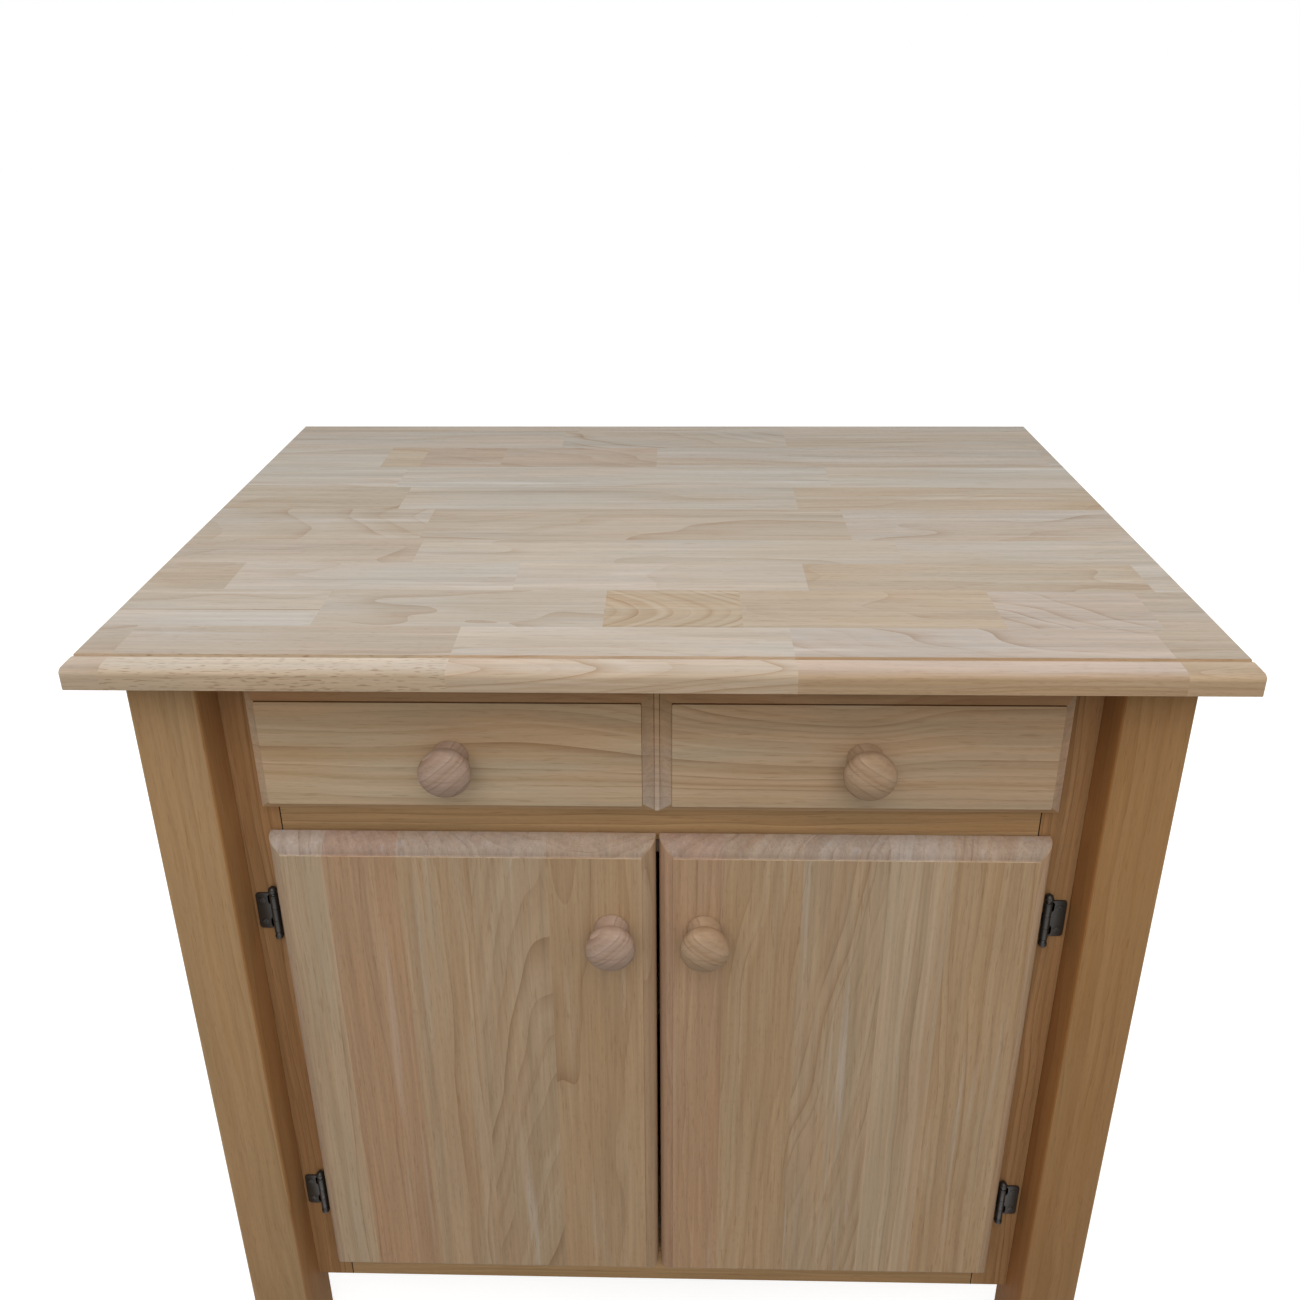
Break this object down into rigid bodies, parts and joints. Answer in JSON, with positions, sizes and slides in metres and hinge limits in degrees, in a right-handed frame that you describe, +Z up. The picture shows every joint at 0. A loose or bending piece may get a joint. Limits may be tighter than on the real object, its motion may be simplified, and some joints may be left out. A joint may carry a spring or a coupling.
{
  "type": "kitchen island",
  "caption": "Free-standing wooden kitchen island: moulded worktop on square legs, wide drawer with routed fields and turned knobs, and hinged slab doors in front of a shelf.",
  "frame": {"origin": "on the floor, under the middle of the worktop", "axes": "+X to the right as seen from the front, +Y towards the back, +Z up; the drawer and doors face -Y"},
  "size_m": [0.9144, 0.5674, 0.9144],
  "materials": {
    "worktop_wood": "sanded, unfinished",
    "leg_wood": "sanded, unfinished",
    "frame_wood": "sanded, unfinished",
    "front_wood": "sanded, unfinished",
    "knob_wood": "turned and sanded, unfinished",
    "inside_wood": "sanded, unfinished",
    "hinge_black": "satin black",
    "steel": "zinc plated",
    "brown_plastic": "matte moulded",
    "pale_plastic": "matte moulded"
  },
  "bodies": {
    "cabinet": {"top_board": "worktop_wood", "leg_front_left": "leg_wood", "leg_front_right": "leg_wood", "leg_back_left": "leg_wood", "leg_back_right": "leg_wood", "glide_front_left": "pale_plastic", "glide_front_right": "pale_plastic", "glide_back_left": "pale_plastic", "glide_back_right": "pale_plastic", "frame_stile_left": "frame_wood", "frame_stile_right": "frame_wood", "frame_top_rail": "frame_wood", "frame_middle_rail": "frame_wood", "frame_bottom_rail": "frame_wood", "side_apron_left": "leg_wood", "side_apron_right": "leg_wood", "side_lower_rail_left": "leg_wood", "side_lower_rail_right": "leg_wood", "side_panel_left": "frame_wood", "side_panel_right": "frame_wood", "back_apron": "leg_wood", "back_lower_rail": "leg_wood", "back_panel": "inside_wood", "cabinet_floor": "inside_wood", "floor_cleat_left": "inside_wood", "floor_cleat_right": "inside_wood", "shelf": "inside_wood", "shelf_peg_front_left": "steel", "shelf_peg_front_right": "steel", "shelf_peg_back_left": "steel", "shelf_peg_back_right": "steel", "drawer_runner_left": "inside_wood", "drawer_runner_right": "inside_wood", "door_catch": "brown_plastic", "hinge_wing_left_lower": "hinge_black", "hinge_wing_left_upper": "hinge_black", "hinge_wing_right_lower": "hinge_black", "hinge_wing_right_upper": "hinge_black", "hinge_pin_left_lower": "hinge_black", "hinge_pin_left_upper": "hinge_black", "hinge_pin_right_lower": "hinge_black", "hinge_pin_right_upper": "hinge_black"},
    "drawer": {"drawer_front": "front_wood", "drawer_box_front": "inside_wood", "drawer_box_back": "inside_wood", "drawer_side_left": "inside_wood", "drawer_side_right": "inside_wood", "drawer_bottom": "inside_wood", "drawer_knob_left": "knob_wood", "drawer_knob_right": "knob_wood"},
    "left_door": {"door_left": "front_wood", "door_knob_left": "knob_wood", "strike_plate_left": "steel", "hinge_door_leaf_left_lower": "hinge_black", "hinge_door_leaf_left_upper": "hinge_black"},
    "right_door": {"door_right": "front_wood", "door_knob_right": "knob_wood", "strike_plate_right": "steel", "hinge_door_leaf_right_lower": "hinge_black", "hinge_door_leaf_right_upper": "hinge_black"}
  },
  "joints": [
    {"name": "drawer_slide", "type": "slide", "parent": "cabinet", "child": "drawer", "axis": [0, -1, 0], "range_m": [0, 0.3]},
    {"name": "left_door_hinge", "type": "hinge", "parent": "cabinet", "child": "left_door", "pos_m": [-0.35315, -0.21575, 0.424], "axis": [0, 0, -1], "range_deg": [0, 95]},
    {"name": "right_door_hinge", "type": "hinge", "parent": "cabinet", "child": "right_door", "pos_m": [0.35315, -0.21575, 0.424], "axis": [0, 0, 1], "range_deg": [0, 95]}
  ]
}
